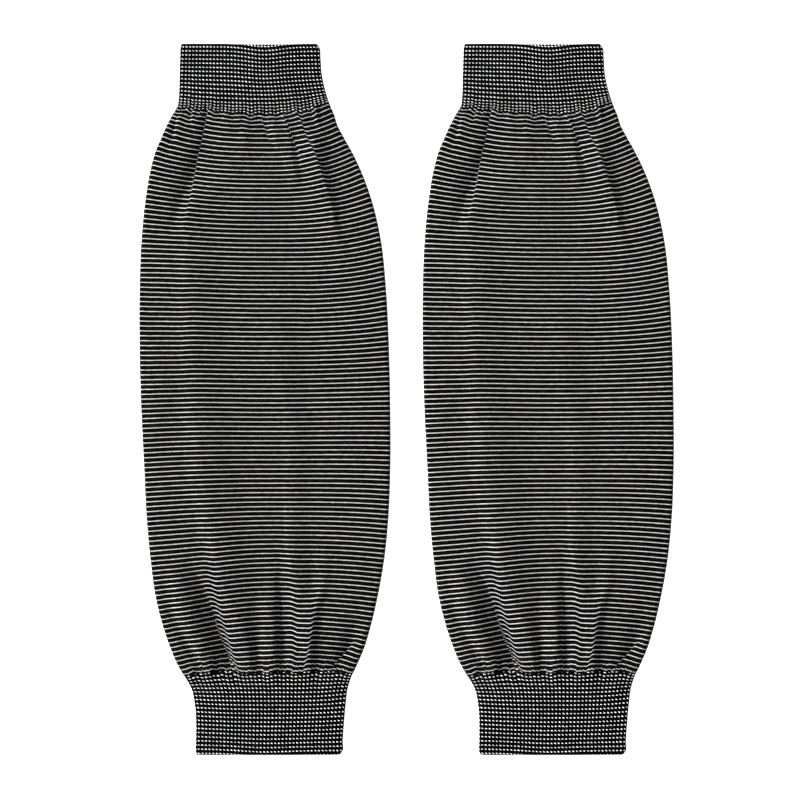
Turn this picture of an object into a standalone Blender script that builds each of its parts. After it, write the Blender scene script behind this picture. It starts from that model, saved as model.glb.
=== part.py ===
"""Pair of knitted protective sleeves with ribbed elastic cuffs, lying flat side by side.

Each sleeve is one seamless tube pressed flat: a rib cuff, a wide body that is gathered into both
cuffs, and a second rib cuff. A knitted course runs once round the tube, so each ring of points
here is one course, and it bows across the sleeve as the stripes of the cloth do. The front panel
lies on the back panel, and the back panel lies flat on the floor at z = 0.

Frame: +Z up, +Y along the sleeves towards the end with the shorter cuff, origin at the middle of
the floor area that the pair covers. Sizes and tables are in millimetres.
"""

import math
from collections import namedtuple

import bpy
import numpy as np

MM = 0.001

# Driving sizes
SLEEVE_LENGTH = 457.2
PAIR_PITCH = 182.1
BODY_WALL = 1.3
CUFF_WALL = 1.5
EDGE_RADIUS = 1.8
SEAM_GAP = 0.32
LEAST_HOLLOW = 0.4

# A course is named by the y at which it crosses the middle of the front panel
TOP_EDGE = SLEEVE_LENGTH / 2
TOP_SEAM = 183.0
BOTTOM_SEAM = -175.5
BOTTOM_EDGE = -SLEEVE_LENGTH / 2

# Ribs of the cuffs, raised on the panel that faces up
RIBS_ACROSS = 39
RIB_HEIGHT = 0.35

# The front edge of the upper mouth sags and stands open a little
MOUTH_DIP = 1.8
MOUTH_LIFT = 1.0
MOUTH_MIDDLE = -0.6
MOUTH_HALF_WIDTH = 14.0

# Powers of the curves across the panel, from 0 in the middle to 1 at an edge
BOW_POWER = 2.0
CROWN_POWER = 4

# A fold starts at this share of its full height at the seam, grows over FOLD_RISE, holds to
# FOLD_HOLD of its reach and then fades. All folds fade out near the side edges.
FOLD_AT_SEAM = 0.55
FOLD_RISE = 9.0
FOLD_HOLD = 0.35
FOLD_EDGE_FADE = 6.0

# Points round each ring, and rings along each tube
BODY_FRONT_POINTS = 53
BODY_RINGS = 21
CUFF_FRONT_POINTS = 2 * RIBS_ACROSS + 1
CUFF_RINGS = 5
LINING_FRONT_POINTS = 14
BACK_POINTS = 9
ARC_POINTS = 3

# Outline of the flat sleeve: where its left and right edges are at each y
Outline = namedtuple("Outline", "y left right")
OUTLINE = [
    Outline(TOP_EDGE, -53.6, 33.6),
    Outline(226.0, -54.6, 35.2),
    Outline(208.6, -55.1, 36.6),
    Outline(194.5, -55.3, 39.8),
    Outline(188.1, -56.4, 42.0),
    Outline(182.9, -59.4, 44.2),
    Outline(176.5, -62.8, 46.6),
    Outline(168.8, -66.2, 50.4),
    Outline(159.9, -69.8, 55.2),
    Outline(147.0, -73.1, 61.4),
    Outline(127.8, -76.4, 68.4),
    Outline(102.1, -78.9, 74.3),
    Outline(70.1, -80.2, 77.6),
    Outline(31.6, -80.3, 79.5),
    Outline(-6.9, -79.1, 80.3),
    Outline(-45.3, -77.1, 80.3),
    Outline(-77.4, -75.6, 79.0),
    Outline(-103.0, -73.1, 76.4),
    Outline(-128.7, -69.6, 71.8),
    Outline(-147.9, -64.9, 67.2),
    Outline(-160.8, -60.2, 63.2),
    Outline(-171.0, -55.6, 58.8),
    Outline(-178.7, -51.2, 55.2),
    Outline(-186.4, -46.8, 52.7),
    Outline(-195.4, -44.8, 51.8),
    Outline(-219.8, -44.2, 50.0),
    Outline(-226.6, -44.2, 48.9),
    Outline(BOTTOM_EDGE, -43.4, 46.8),
]

# How far each course rises above its middle, at the left edge and at the right edge
Bow = namedtuple("Bow", "course left right")
BOWS = [
    Bow(TOP_EDGE, 0.0, 0.0),
    Bow(205.0, 1.2, 1.0),
    Bow(192.0, 2.8, 3.8),
    Bow(TOP_SEAM, 3.8, 8.2),
    Bow(162.0, 7.2, 9.2),
    Bow(138.0, 7.2, 10.0),
    Bow(102.0, 4.2, 7.4),
    Bow(64.0, 1.6, 4.6),
    Bow(25.0, 0.0, 2.4),
    Bow(-26.0, -1.7, 0.2),
    Bow(-71.0, -3.4, -1.8),
    Bow(-97.0, -4.8, -3.1),
    Bow(-135.0, -5.6, -4.0),
    Bow(BOTTOM_SEAM, -4.4, -3.3),
    Bow(-183.0, -0.6, 0.8),
    Bow(-205.0, 1.2, 1.1),
    Bow(BOTTOM_EDGE, 0.0, 0.0),
]

# How high the front panel's middle stands over its side edges
Crown = namedtuple("Crown", "course height")
CROWNS = [
    Crown(TOP_EDGE, 0.4),
    Crown(TOP_SEAM, 1.0),
    Crown(165.0, 1.7),
    Crown(110.0, 1.4),
    Crown(0.0, 0.9),
    Crown(-100.0, 1.3),
    Crown(-155.0, 1.7),
    Crown(BOTTOM_SEAM, 1.0),
    Crown(BOTTOM_EDGE, 0.4),
]

# Gathers of the front panel. seam, half and tip say where the fold lies across the panel, from -1
# at the left edge to 1 at the right: at the seam, halfway along it and at its end. reach is its
# length along the sleeve. Its crest and its groove lie one width either side of that line, the
# crest towards the right edge where side is 1.
Fold = namedtuple("Fold", "seam half tip reach crest groove width side")
TOP_FOLDS = [
    Fold(-0.93, -0.88, -0.86, 36, 0.5, 0.5, 2.4, 1),
    Fold(-0.81, -0.78, -0.76, 13, 0.7, 0.5, 2.0, 1),
    Fold(-0.57, -0.61, -0.75, 76, 1.3, 1.2, 3.0, 1),
    Fold(-0.36, -0.36, -0.37, 11, 0.5, 0.4, 1.8, -1),
    Fold(-0.15, -0.13, -0.09, 16, 0.7, 0.6, 1.9, 1),
    Fold(0.12, 0.17, 0.27, 24, 0.7, 0.6, 2.0, 1),
    Fold(0.41, 0.49, 0.49, 40, 0.8, 1.0, 2.3, 1),
    Fold(0.60, 0.67, 0.64, 82, 1.6, 1.3, 3.2, -1),
    Fold(0.87, 0.84, 0.81, 12, 0.6, 0.5, 2.0, -1),
]
BOTTOM_FOLDS = [
    Fold(-0.79, -0.75, -0.70, 18, 0.5, 0.4, 2.0, -1),
    Fold(-0.66, -0.62, -0.58, 18, 0.6, 0.5, 2.0, -1),
    Fold(-0.54, -0.52, -0.50, 13, 0.5, 0.5, 1.8, 1),
    Fold(-0.38, -0.51, -0.59, 90, 1.4, 1.3, 3.0, 1),
    Fold(-0.18, -0.16, -0.14, 20, 0.5, 0.9, 1.9, 1),
    Fold(0.13, 0.12, 0.11, 44, 0.5, 1.1, 2.2, -1),
    Fold(0.29, 0.26, 0.13, 94, 0.9, 0.8, 2.6, 1),
    Fold(0.42, 0.45, 0.44, 66, 0.9, 0.8, 2.6, -1),
    Fold(0.56, 0.54, 0.52, 14, 0.5, 0.5, 1.8, -1),
    Fold(0.74, 0.87, 0.92, 30, 0.8, 0.7, 2.2, 1),
]

# Colours and roughness of the two knits
BODY_COLOUR = (0.060, 0.060, 0.064, 1.0)
CUFF_COLOUR = (0.045, 0.045, 0.049, 1.0)
KNIT_ROUGHNESS = 0.85
SHARP_ANGLE = math.radians(50)


def smooth(t):
    """0 below 0, 1 above 1, and an even S between."""
    t = np.clip(t, 0.0, 1.0)
    return t * t * (3 - 2 * t)


def along(rows, column, at):
    """The named column of a table at `at`, on a smooth curve through its rows."""
    rows = sorted(rows)
    keys = np.array([row[0] for row in rows])
    values = np.array([getattr(row, column) for row in rows])
    slopes = np.gradient(values, keys)
    i = int(np.clip(np.searchsorted(keys, at) - 1, 0, len(keys) - 2))
    step = keys[i + 1] - keys[i]
    t = (at - keys[i]) / step
    u = 1 - t
    start, end = values[i], values[i + 1]
    near_start = start + step * slopes[i] / 3
    near_end = end - step * slopes[i + 1] / 3
    return u**3 * start + 3 * u * u * t * near_start + 3 * u * t * t * near_end + t**3 * end


def course_y(course, across):
    """y of a course at a place across the panel."""
    rise = np.where(across < 0, along(BOWS, "left", course), along(BOWS, "right", course))
    return course + rise * np.abs(across) ** BOW_POWER


def mouth_share(course, x):
    """1 where the upper mouth sags most, and 0 at its ends and at the seam."""
    down_the_cuff = smooth((course - TOP_SEAM) / (TOP_EDGE - TOP_SEAM))
    return down_the_cuff * np.exp(-(((x - MOUTH_MIDDLE) / MOUTH_HALF_WIDTH) ** 2))


def fold_place(fold, gone):
    """Where the fold lies across the panel, `gone` mm from its seam, on a parabola."""
    t = min(gone / fold.reach, 1.0)
    from_seam = (1 - t) * (1 - 2 * t) * fold.seam
    from_half = 4 * t * (1 - t) * fold.half
    from_tip = t * (2 * t - 1) * fold.tip
    return from_seam + from_half + from_tip


def fold_strength(fold, gone):
    """Share of the fold's full height that stands `gone` mm from its seam."""
    grown = FOLD_AT_SEAM + (1 - FOLD_AT_SEAM) * smooth(gone / FOLD_RISE)
    return grown * (1 - smooth((gone / fold.reach - FOLD_HOLD) / (1 - FOLD_HOLD)))


def gathers(across, half_width, course):
    """Height that the folds add to the front panel of the body."""
    height = np.zeros_like(across)
    for folds, gone in ((TOP_FOLDS, TOP_SEAM - course), (BOTTOM_FOLDS, course - BOTTOM_SEAM)):
        for fold in folds:
            offset = (across - fold_place(fold, gone)) * half_width * fold.side / fold.width
            wave = offset * np.exp(1 - np.abs(offset)) * fold_strength(fold, gone)
            height += wave * np.where(offset > 0, fold.crest, fold.groove)
    return height * smooth((1 - np.abs(across)) * half_width / FOLD_EDGE_FADE)


def ribs(across):
    """Height of the cuff's ribs over the grooves between them."""
    return RIB_HEIGHT * (1 - np.cos(math.pi * RIBS_ACROSS * (across + 1))) / 2


def front_panel(course, first, last, count, inset, is_cuff):
    """Points of the panel that faces up, from left to right, `inset` mm inside its surface."""
    across = np.linspace(-1, 1, count)
    half_width = (last - first) / 2
    x = first + (across + 1) * half_width
    open_share = mouth_share(course, x)
    y = course_y(course, across) - MOUTH_DIP * open_share
    crown = along(CROWNS, "height", course) * (1 - np.abs(across) ** CROWN_POWER)
    z = 2 * EDGE_RADIUS + crown + MOUTH_LIFT * open_share
    if not is_cuff:
        z = z + gathers(across, half_width, course)
    slope = np.gradient(z, x)
    slope[[0, -1]] = 0.0
    z = np.maximum(z - inset * np.hypot(slope, 1), inset + LEAST_HOLLOW)
    if is_cuff and inset == 0:
        z = z + ribs(across)
    return np.stack([x, y, z], axis=1)


def back_panel(course, first, last, count, inset):
    """Points of the panel that lies on the floor, from right to left."""
    across = np.linspace(1, -1, count)
    x = first + (across + 1) * (last - first) / 2
    return np.stack([x, course_y(course, across), np.full(count, inset)], axis=1)


def side_fold(course, x, side, inset):
    """Points of the round fold at one side: 1 down the right edge, -1 up the left edge."""
    turns = np.linspace(math.pi / 2, -math.pi / 2, ARC_POINTS + 2)[1:-1]
    radius = EDGE_RADIUS - inset
    y = np.full(ARC_POINTS, float(course_y(course, side)))
    z = EDGE_RADIUS + side * radius * np.sin(turns)
    return np.stack([x + side * radius * np.cos(turns), y, z], axis=1)


def ring(course, front_count, back_count, inset, is_cuff):
    """One course as a closed loop of points, `inset` mm inside the outer surface.

    It runs over the front panel from left to right, down the right edge, back under the
    back panel and up the left edge.
    """
    left = along(OUTLINE, "left", course_y(course, -1))
    right = along(OUTLINE, "right", course_y(course, 1))
    first, last = left + EDGE_RADIUS, right - EDGE_RADIUS
    return np.concatenate(
        [
            front_panel(course, first, last, front_count, inset, is_cuff),
            side_fold(course, last, 1, inset),
            back_panel(course, first, last, back_count, inset),
            side_fold(course, first, -1, inset),
        ]
    )


def ring_places(front_count, back_count):
    """How far round its ring each point is. The four stretches of a ring count 1 each."""
    arc = np.arange(1, ARC_POINTS + 1) / (ARC_POINTS + 1)
    front = np.linspace(0, 1, front_count)
    back = np.linspace(2, 3, back_count)
    return list(np.concatenate([front, 1 + arc, back, 3 + arc]))


def surface(rings, start, outward):
    """Faces between neighbouring rings, whose first point has the index `start`."""
    count = len(rings[0])
    faces = []
    for i in range(len(rings) - 1):
        near = start + i * count
        far = near + count
        for j in range(count):
            k = (j + 1) % count
            face = (near + j, far + j, far + k, near + k)
            faces.append(face if outward else face[::-1])
    return faces


def rim(outer_start, outer_places, inner_start, inner_places, at_top):
    """Faces that close a tube's end between its outer ring and its inner ring."""
    faces = []
    outer_ends = outer_places[1:] + [4.0]
    inner_ends = inner_places[1:] + [4.0]
    i = j = 0
    while i < len(outer_places) or j < len(inner_places):
        here = outer_start + i % len(outer_places)
        there = inner_start + j % len(inner_places)
        take_outer = j == len(inner_places) or (
            i < len(outer_places) and outer_ends[i] <= inner_ends[j]
        )
        if take_outer:
            i += 1
            face = (here, there, outer_start + i % len(outer_places))
        else:
            j += 1
            face = (here, there, inner_start + j % len(inner_places))
        faces.append(face[::-1] if at_top else face)
    return faces


def tube(courses, outer_count, inner_count, wall, is_cuff):
    """(points, faces) of a closed wall whose front panel has these numbers of points."""
    outer = [ring(course, outer_count, BACK_POINTS, 0.0, is_cuff) for course in courses]
    inner = [ring(course, inner_count, BACK_POINTS, wall, is_cuff) for course in courses]
    points = np.concatenate(outer + inner)
    inner_start = sum(len(loop) for loop in outer)
    faces = surface(outer, 0, outward=True) + surface(inner, inner_start, outward=False)

    outer_places = ring_places(outer_count, BACK_POINTS)
    inner_places = ring_places(inner_count, BACK_POINTS)
    faces += rim(0, outer_places, inner_start, inner_places, at_top=True)
    outer_last = inner_start - len(outer_places)
    inner_last = len(points) - len(inner_places)
    faces += rim(outer_last, outer_places, inner_last, inner_places, at_top=False)
    return points, faces


def spread(first, last, count):
    """Courses from first to last, closest together at both ends."""
    turns = np.linspace(0, math.pi, count)
    return first + (last - first) * (1 - np.cos(turns)) / 2


def body_tube():
    courses = spread(TOP_SEAM - SEAM_GAP / 2, BOTTOM_SEAM + SEAM_GAP / 2, BODY_RINGS)
    return tube(courses, BODY_FRONT_POINTS, BODY_FRONT_POINTS, BODY_WALL, is_cuff=False)


def cuff_tube(top, bottom):
    courses = spread(top, bottom, CUFF_RINGS)
    return tube(courses, CUFF_FRONT_POINTS, LINING_FRONT_POINTS, CUFF_WALL, is_cuff=True)


def knit_material(name, colour):
    material = bpy.data.materials.new(name)
    material.use_nodes = True
    shader = material.node_tree.nodes["Principled BSDF"]
    shader.inputs["Base Color"].default_value = colour
    shader.inputs["Roughness"].default_value = KNIT_ROUGHNESS
    shader.inputs["Metallic"].default_value = 0.0
    material.diffuse_color = colour
    return material


def make_mesh(name, points, faces, material):
    mesh = bpy.data.meshes.new(name)
    mesh.from_pydata((points * MM).tolist(), [], faces)
    mesh.materials.append(material)
    mesh.shade_smooth()
    mesh.set_sharp_from_angle(angle=SHARP_ANGLE)
    return mesh


def place_sleeve(side, x, y, meshes):
    """One sleeve: an empty at its place, and its three pieces on the empty."""
    sleeve = bpy.data.objects.new(side + "_sleeve", None)
    sleeve.location = (x * MM, y * MM, 0.0)
    bpy.context.scene.collection.objects.link(sleeve)
    for name, mesh in meshes.items():
        piece = bpy.data.objects.new(side + "_" + name, mesh)
        piece.parent = sleeve
        bpy.context.scene.collection.objects.link(piece)


def clear_scene():
    for thing in list(bpy.data.objects):
        bpy.data.objects.remove(thing)


def main():
    clear_scene()
    body_knit = knit_material("body_knit", BODY_COLOUR)
    cuff_knit = knit_material("cuff_knit", CUFF_COLOUR)
    top_cuff = cuff_tube(TOP_EDGE, TOP_SEAM + SEAM_GAP / 2)
    body = body_tube()
    bottom_cuff = cuff_tube(BOTTOM_SEAM - SEAM_GAP / 2, BOTTOM_EDGE)
    meshes = {
        "top_cuff": make_mesh("top_cuff", *top_cuff, cuff_knit),
        "body": make_mesh("body", *body, body_knit),
        "bottom_cuff": make_mesh("bottom_cuff", *bottom_cuff, cuff_knit),
    }
    everything = np.concatenate([points for points, _ in (top_cuff, body, bottom_cuff)])
    middle_x, middle_y, _ = (everything.min(axis=0) + everything.max(axis=0)) / 2
    place_sleeve("left", -PAIR_PITCH / 2 - middle_x, -middle_y, meshes)
    place_sleeve("right", PAIR_PITCH / 2 - middle_x, -middle_y, meshes)


main()
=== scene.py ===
"""Looks of a pair of knitted protective sleeves with ribbed elastic cuffs, laid flat side by side.

Every piece is a thin closed wall on the form of the solid that it replaces. A ring of points is
one course of the knitting, so the stripes follow the gathers: four courses make one stripe, and
the first of them is white. The cuffs carry rows of white stitches as raised dots.

Sizes and tables are in millimetres, in the frame of one sleeve: x across it from its middle, y
along it towards the shorter cuff, z up from the floor.
"""

import math
from collections import namedtuple

import bpy
import numpy as np
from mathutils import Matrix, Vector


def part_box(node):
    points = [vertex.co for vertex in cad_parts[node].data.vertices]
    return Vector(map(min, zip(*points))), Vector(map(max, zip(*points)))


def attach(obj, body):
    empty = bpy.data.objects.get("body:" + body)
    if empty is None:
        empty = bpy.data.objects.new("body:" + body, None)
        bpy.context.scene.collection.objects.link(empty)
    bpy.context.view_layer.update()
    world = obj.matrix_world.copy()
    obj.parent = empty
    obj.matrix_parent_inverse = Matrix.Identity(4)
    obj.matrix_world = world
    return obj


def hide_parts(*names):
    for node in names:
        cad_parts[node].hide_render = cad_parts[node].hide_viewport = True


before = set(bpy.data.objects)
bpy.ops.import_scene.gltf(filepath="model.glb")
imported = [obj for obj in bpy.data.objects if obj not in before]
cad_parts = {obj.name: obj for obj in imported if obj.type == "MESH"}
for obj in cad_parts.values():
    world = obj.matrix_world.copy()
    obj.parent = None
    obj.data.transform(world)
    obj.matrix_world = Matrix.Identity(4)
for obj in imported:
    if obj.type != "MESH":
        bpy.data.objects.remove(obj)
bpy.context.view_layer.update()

MM = 0.001


def table(columns, *rows):
    """Rows with named columns. What is left out at the end of a row is 0."""
    Row = namedtuple("Row", columns, defaults=[0.0] * len(columns.split()))
    return [Row(*row) for row in rows]


# Shared with the solids: hems, seams, walls and side folds, the crown of the front, and the upper
# mouth, which sags and stands open in its middle
TOP_EDGE = 228.6
TOP_SEAM = 183.0
BOTTOM_SEAM = -175.5
BOTTOM_EDGE = -228.6
BODY_WALL = 1.3
CUFF_WALL = 1.5
EDGE_RADIUS = 1.8
CROWN_POWER = 4
MOUTH_DIP = 1.8
MOUTH_LIFT = 1.0
MOUTH_MIDDLE = -0.6
MOUTH_HALF_WIDTH = 14.0

# Least height of the front's lining above a flat back's
LEAST_HOLLOW = 0.2

# Knitting: dots round a cuff, wales of the body to one dot, and courses to one stripe or dot row
DOTS_ROUND = 83
WALES_PER_DOT = 4
COURSES_PER_STRIPE = 4
STRIPES = 120

# Relief of the courses, the cuffs' ribs and their white stitches, and the round edge of the hems
COURSE_RELIEF = 0.14
RIB_HEIGHT = 0.18
DOT_RELIEF = 0.22
HEM_ROUND = 0.8

# A white stitch of the cuffs is a slanted oval: half its length and width as shares of its cell's
# height, how wide the cell is for its height, and its slope. Its relief is a dome with the top cut
# off at 1: this high in the middle, and lower by the fall at the oval's edge.
DOT_LENGTH = 0.25
DOT_WIDTH = 0.10
CELL_WIDTH = 0.86
DOT_TILT = math.radians(-21)
DOME_HEIGHT = 1.2
DOME_FALL = 0.6

# Folds: their growth from the seam, how far they show in the cuffs, how they grow softer along
# their reach, how they fade at the side edges, and how wide an overlap is
FOLD_AT_SEAM = 0.8
FOLD_RISE = 9.0
FOLD_INTO_CUFF = 3.0
FOLD_SOFTENING = 8.0
FOLD_EDGE_FADE = 5.0
OVERLAP_WIDTH = 2.0

# Beside the seams the stripes slant within each rib and break at its edges: by how many courses, and
# how many courses away this fades
RIB_SLANT = 1.9
SLANT_FADE = 4.5

# Waves of the rows beside the seams: how many go round the sleeve, their height and their start
SEAM_WAVES = table(
    "count height start",
    (11, 0.34, 0.10),
    (17, 0.40, 0.55),
    (26, 0.38, 0.30),
    (37, 0.26, 0.80),
)
SEAM_WAVE_FADE = 4.5

# Points round each ring of the body. They crowd at the folds, where a fine search places them.
FRONT_POINTS = 130
BACK_POINTS = 52
ARC_POINTS = 5
CROWDING = 4.0
CROWD_WIDTH = 2.2
SEARCH_POINTS = 900

# The body's courses: how near to a seam one may lie, and how finely their y is looked up
LEAST_FROM_SEAM = 0.3
LOOKUPS_PER_STRIPE = 40

# Points of the cuffs, and extra rings at the round hem, as shares of its width
DOTS_AT_SIDES = 3
POINTS_PER_DOT = 6
BACK_POINTS_PER_DOT = 4
CUFF_ARC_POINTS = 11
DOT_ROW_PITCH = 2.65
RINGS_PER_DOT_ROW = 6
HEM_RINGS = (0.03, 0.12, 0.28, 0.5)

# Points of the linings
LINING_FRONT_POINTS = 40
LINING_BACK_POINTS = 12
LINING_ARC_POINTS = 3
BODY_LINING_RINGS = 30
CUFF_LINING_RINGS = 8

# Layout for baking, from 0 to 1: the way round a piece lies in strips, one above the other, and
# each part of the wall has its own band
BODY_STRIPS = 1
CUFF_STRIPS = 2
STRIP_MARGIN = 0.02
LINING_BAND = (0.0, 0.04)
UPPER_RIM_BAND = (0.045, 0.055)
LOWER_RIM_BAND = (0.06, 0.07)
OUTER_BAND = (0.08, 1.0)

# Outline of the flat sleeve: where its left and right edges are at each y. The left one stands
# about 1 mm outside the solid, as the photo's does.
OUTLINE = table(
    "y left right",
    (TOP_EDGE, -54.6, 33.4),
    (226, -55.2, 34.9),
    (220, -55.5, 35.5),
    (208.6, -55.9, 36.4),
    (194.5, -56.4, 39.8),
    (188.1, -57.3, 42),
    (182.9, -60.3, 44.2),
    (176.5, -63.7, 46.2),
    (168.8, -67.1, 50.2),
    (159.9, -70.9, 55.2),
    (147, -74.4, 61.4),
    (127.8, -77.6, 68.4),
    (102.1, -80.1, 74.3),
    (70.1, -81.3, 77.6),
    (31.6, -81.3, 79.5),
    (-6.9, -80.2, 80.3),
    (-45.3, -78.3, 80.3),
    (-77.4, -76.7, 79),
    (-103, -74.3, 76.4),
    (-128.7, -70.7, 71.8),
    (-147.9, -65.7, 67.2),
    (-160.8, -61.2, 63.2),
    (-171, -56.8, 58.8),
    (-178.7, -52.3, 55.2),
    (-186.4, -48.1, 52.9),
    (-195.4, -46.2, 51.8),
    (-219.8, -45.3, 49.8),
    (-226.6, -45.3, 49.4),
    (BOTTOM_EDGE, -44.8, 47.8),
)

# How far each course rises above its middle: at the left edge, halfway to it, halfway to the right
# edge, and at the right edge
BOWS = table(
    "course left left_half right_half right",
    (TOP_EDGE, 0, 0, 0, 0),
    (205, 1.2, 0.3, 0.2, 1),
    (192, 2.8, 0.6, 0.6, 3.8),
    (TOP_SEAM, 4.6, 1.5, 0.8, 8),
    (172, 6.8, 1.2, 0.6, 7.6),
    (156, 7.2, 0.9, 0.6, 8.2),
    (138, 6.1, 1, 0.8, 9.5),
    (115, 4.3, 1, 0.9, 8),
    (91, 2.5, 1, 0.4, 6.3),
    (61, 1.4, 0.8, 0.3, 4.8),
    (25, 0.1, 0.5, 0.4, 2.6),
    (-11, -0.9, 0.3, 0.4, 0.9),
    (-48, -2.4, -0.5, 0.1, -0.8),
    (-78, -3.7, -1.2, -0.2, -2.2),
    (-100, -5, -1.9, -0.5, -3.1),
    (-136, -5.5, -1.5, -0.4, -3.5),
    (-158, -4.5, -0.9, 0.2, -2.8),
    (BOTTOM_SEAM, -2.6, 0, 0.6, -1.2),
    (-183, -0.6, 0, 0.2, 0.8),
    (-205, 1.2, 0.3, 0.2, 1.1),
    (BOTTOM_EDGE, 0, 0, 0, 0),
)

# How high the front panel's middle stands over its side edges
CROWNS = table(
    "course height",
    (TOP_EDGE, 0.4),
    (TOP_SEAM, 0.8),
    (165, 1.1),
    (110, 1.1),
    (0, 0.9),
    (-100, 1.1),
    (-155, 1.2),
    (BOTTOM_SEAM, 0.8),
    (BOTTOM_EDGE, 0.4),
)

# The right side of the body stands plumper than the left: by how much, from which place across the
# panel and by which power it rises, and how far from the seams it has its full height
SIDE_LIFT = 2.2
SIDE_LIFT_FROM = 0.25
SIDE_LIFT_POWER = 1.4
SIDE_LIFT_BELOW_TOP = 70.0
SIDE_LIFT_OVER_BOTTOM = 45.0

# y of the white courses of the body, counted from the upper seam
STRIPE_ROWS = table(
    "number y",
    (0, 183.8),
    (4, 173.1),
    (10, 155.4),
    (20, 126.6),
    (40, 67.4),
    (60, 6.7),
    (80, -53.9),
    (100, -114.2),
    (119, -173.5),
)

# y of the dot rows of each cuff in the middle of the panel, numbered upwards
TOP_DOT_ROWS = table(
    "y number",
    (183.8, 0),
    (187.9, 2),
    (190.2, 3),
    (198.5, 6),
    (209.6, 10),
    (225.5, 16),
)
BOTTOM_DOT_ROWS = table(
    "y number",
    (-226.5, -19),
    (-188.2, -5),
    (-180.3, -2),
    (-175.3, 0),
)

# Near the hems the dot rows sag in the middle of the front by more than the hems do. left and right
# say how far the rows rise from there to each side, and width how wide the sag is.
TOP_SAG_END = 190.0
BOTTOM_SAG_END = -208.0
SAG_MIDDLE = -0.6
SAGS = table(
    "y left right width",
    (TOP_EDGE, 0.8, 0.6, 13),
    (209.6, 0.6, 0.2, 15),
    (198.5, 0.5, 0.1, 17),
    (TOP_SAG_END, 0, 0, 20),
    (BOTTOM_SAG_END, 0, 0, 20),
    (BOTTOM_EDGE, 1.9, 0.9, 20),
)

# A fold is a line along the sleeve. first, half and last say where it lies across the panel, from
# -1 at the left edge to 1 at the right: where it starts, halfway and at its end. reach is its length,
# and hold the share of it that keeps its full size. edge is the width of the step at the line.
# height says how much higher the cloth is beside it, and slip how far its courses slip along the
# sleeve. Both hold the value at the left of the line and the width over which it fades, and then
# the same for the right. overlap is how far each side is drawn over the line, so that the higher
# one covers the other.
FOLD = "first half last reach hold edge height slip overlap"
NO_RISE = NO_SLIP = (0, 1, 0, 1)
TOP_FOLDS = table(
    FOLD,
    (-0.99, -0.9, -0.86, 38, 0.4, 0.7, (-1.2, 4, 0.6, 5), (-0.4, 4, 0.4, 5)),
    (-0.9, -0.87, -0.85, 9, 0.2, 0.5, (-0.5, 2, 0.5, 3), (-0.3, 2, 0.6, 2)),
    (-0.81, -0.78, -0.76, 14, 0.3, 0.5, (-1.3, 3, 0.6, 3), (-0.6, 3, 0.7, 3)),
    (-0.71, -0.7, -0.69, 9, 0.2, 0.5, (-0.4, 2, 0.4, 3), (-0.3, 2, 0.5, 2)),
    (-0.6, -0.6, -0.79, 96, 0.25, 0.4, (-0.7, 3, 0.4, 4), (0.1, 9, 1.7, 16), 0.7),
    (-0.4, -0.39, -0.38, 9, 0.2, 0.5, (-0.4, 3, 0.4, 3), (-0.3, 2, 0.5, 3)),
    (-0.27, -0.27, -0.26, 7, 0.2, 0.6, (-0.4, 3, -0.4, 3), (-0.4, 2, -0.3, 2)),
    (-0.15, -0.13, -0.09, 18, 0.2, 0.7, (1, 3, -0.6, 3), (0.8, 2, 0.8, 2)),
    (-0.02, -0.01, 0.00, 8, 0.2, 0.6, (-0.4, 3, 0.2, 3), (-0.3, 2, 0.2, 2)),
    (0.11, 0.18, 0.28, 25, 0.4, 0.3, (-0.4, 3, 0.3, 3), (0.3, 5, -0.5, 4), 0.3),
    (0.26, 0.28, 0.29, 10, 0.2, 0.5, (-0.4, 3, 0.3, 3), (-0.2, 2, 0.3, 2)),
    (0.4, 0.5, 0.49, 44, 0.3, 0.4, (-0.4, 3, 0.3, 3), (-0.7, 5, 0.4, 4), 0.4),
    (0.6, 0.68, 0.64, 84, 0.35, 0.4, (0.5, 4, -0.4, 3), NO_SLIP, 0.4),
    (0.61, 0.69, 0.65, 84, 0.35, 1.3, NO_RISE, (1.5, 9, -0.5, 8)),
    (0.77, 0.77, 0.78, 9, 0.2, 0.5, (0.3, 3, -0.5, 3), (0.4, 2, -0.4, 2)),
    (0.88, 0.85, 0.81, 13, 0.2, 0.5, (0.5, 3, -0.6, 3), (0.4, 3, -0.5, 3)),
)
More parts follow.
